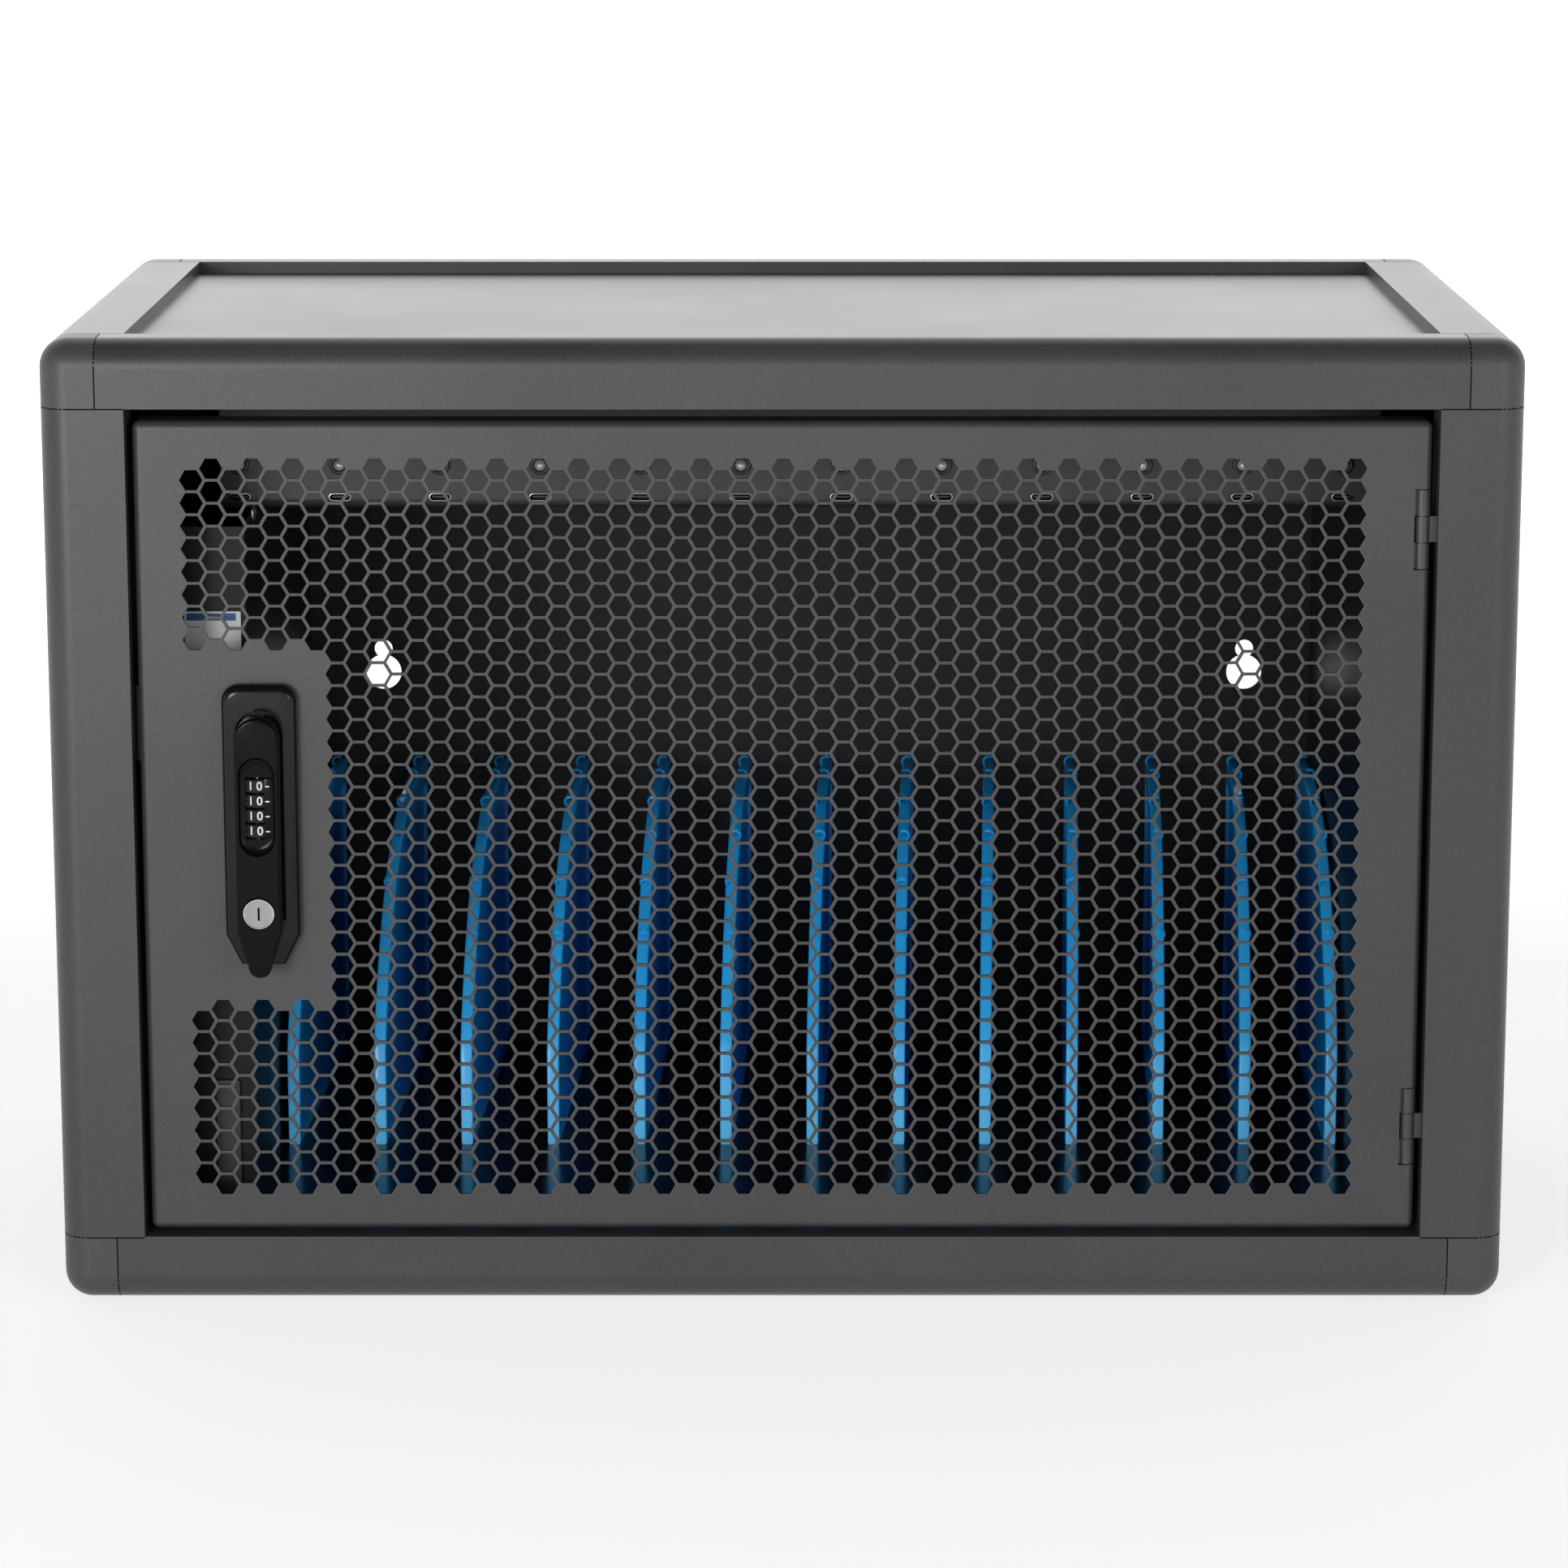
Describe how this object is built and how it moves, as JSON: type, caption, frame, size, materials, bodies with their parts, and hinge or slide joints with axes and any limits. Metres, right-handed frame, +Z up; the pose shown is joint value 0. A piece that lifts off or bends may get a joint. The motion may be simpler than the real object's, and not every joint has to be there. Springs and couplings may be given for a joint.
{
  "type": "device charging cabinet",
  "caption": "Low steel charging cabinet with a tube frame, a perforated hinged door with a combination swing lever, blue dividers that form device bays, and charging sockets above them",
  "frame": {"origin": "on the floor, under the middle of the overall box, lever included", "axes": "+X runs to the cabinet's right as seen from the front, +Y to the rear, +Z up; the door faces -Y"},
  "size_m": [0.57, 0.3274, 0.384],
  "materials": {
    "frame_coat": "fine-textured charcoal powder coat",
    "cap_plastic": "charcoal moulding matched to the powder coat",
    "foot_rubber": "matt black rubber",
    "lining_black": "semi-gloss black paint",
    "divider_blue": "glossy bright blue moulding",
    "board_green": "green circuit board",
    "port_steel": "plated socket shells",
    "bezel_black": "black plastic",
    "lamp_clear": "milky clear dome",
    "supply_metal": "bare sheet case",
    "inlet_black": "black moulding",
    "rocker_black": "black rocker",
    "plated_steel": "zinc-plated steel",
    "lock_black": "semi-gloss black die casting",
    "dial_black": "black wheels with white digits",
    "plug_satin": "satin nickel"
  },
  "bodies": {
    "cabinet": {"top_front_rail": "frame_coat", "top_rear_rail": "frame_coat", "top_left_rail": "frame_coat", "top_right_rail": "frame_coat", "bottom_front_rail": "frame_coat", "bottom_rear_rail": "frame_coat", "bottom_left_rail": "frame_coat", "bottom_right_rail": "frame_coat", "front_left_post": "frame_coat", "front_right_post": "frame_coat", "rear_left_post": "frame_coat", "rear_right_post": "frame_coat", "top_panel": "frame_coat", "bottom_panel": "frame_coat", "left_side_panel": "frame_coat", "right_side_panel": "frame_coat", "rear_panel": "frame_coat", "frame_hinge_knuckles": "frame_coat", "top_corner_caps": "cap_plastic", "bottom_corner_caps": "cap_plastic", "foot_pads": "foot_rubber", "inner_left_wall": "lining_black", "inner_right_wall": "lining_black", "divider_tray": "lining_black", "charger_tray": "lining_black", "divider_01": "divider_blue", "divider_02": "divider_blue", "divider_03": "divider_blue", "divider_04": "divider_blue", "divider_05": "divider_blue", "divider_06": "divider_blue", "divider_07": "divider_blue", "divider_08": "divider_blue", "divider_09": "divider_blue", "divider_10": "divider_blue", "divider_11": "divider_blue", "divider_12": "divider_blue", "divider_13": "divider_blue", "charger_board": "board_green", "usb_c_ports": "port_steel", "led_bezels": "bezel_black", "led_lenses": "lamp_clear", "power_supply": "supply_metal", "power_inlet": "inlet_black", "hinge_pins": "plated_steel", "strike_bracket": "plated_steel"},
    "door": {"door_panel": "frame_coat", "door_hinge_knuckles": "frame_coat", "lock_housing": "lock_black", "lock_nut": "plated_steel"},
    "lock_spindle": {"spindle": "plated_steel", "cam_latch": "plated_steel"},
    "swing_lever": {"lever": "lock_black", "lever_pins": "plated_steel"},
    "first_dial": {"dial_1": "dial_black"},
    "second_dial": {"dial_2": "dial_black"},
    "third_dial": {"dial_3": "dial_black"},
    "fourth_dial": {"dial_4": "dial_black"},
    "key": {"key_plug": "plug_satin"},
    "rocker": {"switch_rocker": "rocker_black"}
  },
  "joints": [
    {"name": "door_hinge", "type": "hinge", "parent": "cabinet", "child": "door", "pos_m": [0.2465, -0.1403, 0.1916], "axis": [0, 0, 1], "range_deg": [0, 105]},
    {"name": "spindle_turn", "type": "hinge", "parent": "door", "child": "lock_spindle", "pos_m": [-0.2025, -0.1403, 0.2317], "axis": [0, 1, 0], "range_deg": [0, 90]},
    {"name": "lever_lift", "type": "hinge", "parent": "lock_spindle", "child": "swing_lever", "pos_m": [-0.2025, -0.1553, 0.2317], "axis": [-1, 0, 0], "range_deg": [0, 35]},
    {"name": "dial_1_spin", "type": "hinge", "parent": "swing_lever", "child": "first_dial", "pos_m": [-0.2025, -0.1567, 0.21355], "axis": [0, 0, 1], "continuous": true},
    {"name": "dial_2_spin", "type": "hinge", "parent": "swing_lever", "child": "second_dial", "pos_m": [-0.2025, -0.1567, 0.20765], "axis": [0, 0, 1], "continuous": true},
    {"name": "dial_3_spin", "type": "hinge", "parent": "swing_lever", "child": "third_dial", "pos_m": [-0.2025, -0.1567, 0.20175], "axis": [0, 0, 1], "continuous": true},
    {"name": "dial_4_spin", "type": "hinge", "parent": "swing_lever", "child": "fourth_dial", "pos_m": [-0.2025, -0.1567, 0.19585], "axis": [0, 0, 1], "continuous": true},
    {"name": "key_turn", "type": "hinge", "parent": "swing_lever", "child": "key", "pos_m": [-0.2025, -0.1563, 0.1634], "axis": [0, 1, 0], "range_deg": [0, 90]},
    {"name": "switch_rock", "type": "hinge", "parent": "cabinet", "child": "rocker", "pos_m": [-0.232, 0.1587, 0.1165], "axis": [1, 0, 0], "range_deg": [-8, 8]}
  ]
}
